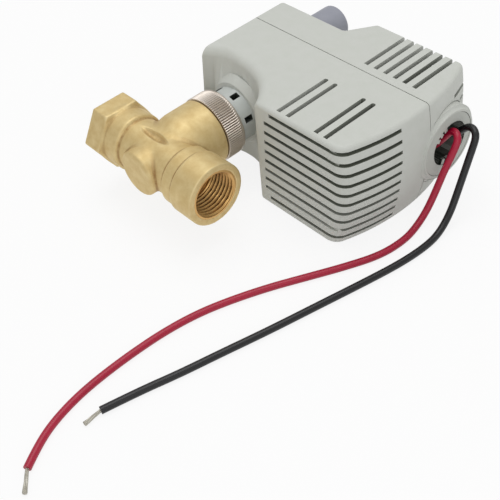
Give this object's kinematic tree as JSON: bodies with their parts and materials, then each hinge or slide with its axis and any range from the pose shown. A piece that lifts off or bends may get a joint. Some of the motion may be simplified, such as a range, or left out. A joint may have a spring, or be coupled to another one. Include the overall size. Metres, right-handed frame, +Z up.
{
  "type": "motorized zone valve",
  "caption": "Two-port brass heating valve with a plug on a sprung stem, joined by a knurled nut to a plastic actuator with motor, gears, cam and hand lever.",
  "frame": {"origin": "under the middle of the valve and actuator, on the plane that the actuator's flat lower side lies on", "axes": "+X along the pipe towards the outlet and the cable entry, +Y along the valve's stem from the valve towards the actuator, +Z up"},
  "size_m": [0.1303, 0.2268, 0.0512],
  "materials": {
    "rough_brass": "rough cast, sand-blasted",
    "turned_brass": "machined",
    "champagne_plate": "knurled and nickel plated",
    "collar_plastic": "moulded",
    "housing_plastic": "fine spark-eroded moulding grain",
    "cover_plastic": "fine spark-eroded moulding grain",
    "bush_plastic": "moulded",
    "lever_plastic": "moulded",
    "gear_plastic": "moulded acetal",
    "pinion_plastic": "moulded acetal",
    "bobbin_plastic": "moulded nylon",
    "clamp_plastic": "moulded nylon",
    "plate_steel": "zinc plated sheet",
    "can_steel": "drawn sheet",
    "spring_steel": "drawn wire",
    "rod_steel": "ground",
    "screw_steel": "zinc plated",
    "magnet": "sintered",
    "copper_winding": "enamelled copper wire",
    "bearing_bronze": "sintered",
    "seal_rubber": "moulded",
    "bush_nylon": "turned",
    "red_insulation": "extruded",
    "black_insulation": "extruded",
    "tin": "dipped"
  },
  "bodies": {
    "root": {"valve_body": "rough_brass", "gland_insert": "turned_brass", "insert_seal": "seal_rubber", "stem_seal": "seal_rubber", "gland_bush": "bush_nylon", "mounting_collar": "collar_plastic", "collar_circlip": "spring_steel", "front_housing": "housing_plastic", "rear_cover": "cover_plastic", "cover_screws": "screw_steel", "entry_bush": "bush_plastic", "gear_plate": "plate_steel", "motor_can": "can_steel", "motor_cap": "can_steel", "coil_bobbin": "bobbin_plastic", "motor_coil": "copper_winding", "rear_bearing": "bearing_bronze", "front_bearing": "bearing_bronze", "motor_screws": "screw_steel", "first_gear_pin": "rod_steel", "second_gear_pin": "rod_steel", "gear_clip": "spring_steel", "closing_spring": "spring_steel", "stem_spring": "spring_steel", "lead_clamp": "clamp_plastic", "clamp_screws": "screw_steel", "red_lead": "red_insulation", "black_lead": "black_insulation", "red_tinned_end": "tin", "black_tinned_end": "tin"},
    "nut": {"coupling_nut": "champagne_plate"},
    "stem": {"valve_stem": "rod_steel", "valve_plug": "turned_brass", "plug_seal": "seal_rubber", "stem_cap": "turned_brass"},
    "plunger": {"plunger": "rod_steel", "cross_pin": "rod_steel"},
    "cam": {"cam_gear": "gear_plastic", "lever_shaft": "gear_plastic", "manual_lever": "lever_plastic", "lever_screw": "screw_steel"},
    "first_gear": {"first_reduction_gear": "gear_plastic"},
    "second_gear": {"second_reduction_gear": "gear_plastic"},
    "rotor": {"motor_shaft": "rod_steel", "rotor_magnet": "magnet", "motor_pinion": "pinion_plastic"}
  },
  "joints": [
    {"name": "cam_turn", "type": "hinge", "parent": "root", "child": "cam", "pos_m": [-0.02385, 0.03069, 0.0262], "axis": [0, -1, 0], "range_deg": [0, 60], "stiffness_Nm_per_rad": 0.02, "springref_deg": -20.05},
    {"name": "plunger_slide", "type": "slide", "parent": "root", "child": "plunger", "axis": [0, 1, 0], "range_m": [0, 0.00251], "deforming": ["closing_spring"]},
    {"name": "stem_slide", "type": "slide", "parent": "root", "child": "stem", "axis": [0, 1, 0], "range_m": [0, 0.00251], "deforming": ["stem_spring"]},
    {"name": "second_gear_turn", "type": "hinge", "parent": "root", "child": "second_gear", "pos_m": [-0.00345, 0.02569, 0.0262], "axis": [0, -1, 0], "range_deg": [-246.5, 0.5]},
    {"name": "first_gear_turn", "type": "hinge", "parent": "root", "child": "first_gear", "pos_m": [0.01015, 0.02769, 0.0262], "axis": [0, -1, 0], "range_deg": [-0.5, 591]},
    {"name": "rotor_turn", "type": "hinge", "parent": "root", "child": "rotor", "pos_m": [0.02615, 0.01569, 0.0262], "axis": [0, -1, 0], "range_deg": [-1772, 0.5]},
    {"name": "nut_turn", "type": "hinge", "parent": "root", "child": "nut", "pos_m": [-0.02385, -0.01631, 0.0262], "axis": [0, 1, 0], "continuous": true}
  ],
  "couplings": [
    {"joint": "plunger_slide", "follows": "cam_turn", "m_per_rad": 0.0023873},
    {"joint": "stem_slide", "follows": "cam_turn", "m_per_rad": 0.0023873},
    {"joint": "second_gear_turn", "follows": "cam_turn", "ratio": -4.1},
    {"joint": "first_gear_turn", "follows": "cam_turn", "ratio": 9.84},
    {"joint": "rotor_turn", "follows": "cam_turn", "ratio": -29.52}
  ]
}
